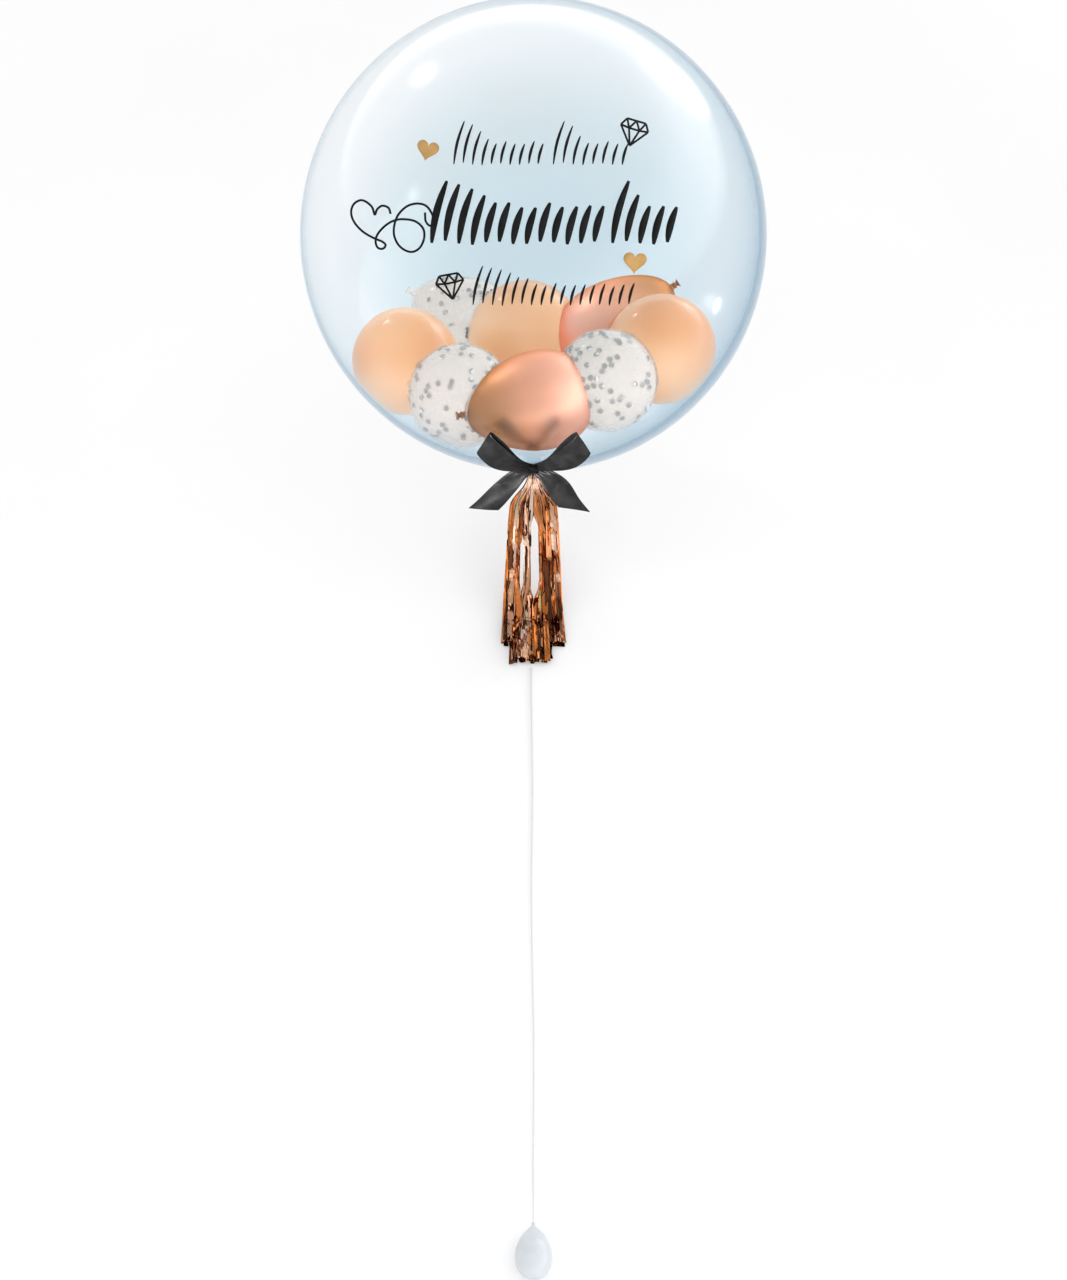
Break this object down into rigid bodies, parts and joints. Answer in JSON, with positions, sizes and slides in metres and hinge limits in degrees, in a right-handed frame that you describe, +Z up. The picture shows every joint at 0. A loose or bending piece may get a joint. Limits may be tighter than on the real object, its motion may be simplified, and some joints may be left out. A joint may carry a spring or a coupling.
{
  "type": "clear bubble balloon",
  "caption": "Clear film bubble balloon with small balloons inside, satin bow, foil tassel, string and a small weight, lying on a flat spot.",
  "frame": {"origin": "centre of the flat spot that the bubble rests on", "axes": "+Z up from the surface, the neck, tassel and string point to -Y, X across"},
  "size_m": [0.6096, 1.5869, 0.6076],
  "materials": {
    "clear_film": "clear stretched film, pale blue",
    "black_satin": "satin ribbon",
    "rose_foil": "metallic rose gold foil",
    "white_string": "thin twisted string",
    "white_latex": "thin milky latex, water-filled",
    "pearl_latex": "pearl peach latex",
    "chrome_latex": "metallic rose gold latex",
    "clear_latex": "clear milky latex",
    "silver_confetti": "metallic foil discs",
    "black_vinyl": "cut vinyl film",
    "gold_vinyl": "cut vinyl film"
  },
  "bodies": {
    "root": {"bubble": "clear_film", "bow": "black_satin", "tassel": "rose_foil", "string": "white_string", "weight": "white_latex"}
  },
  "joints": []
}
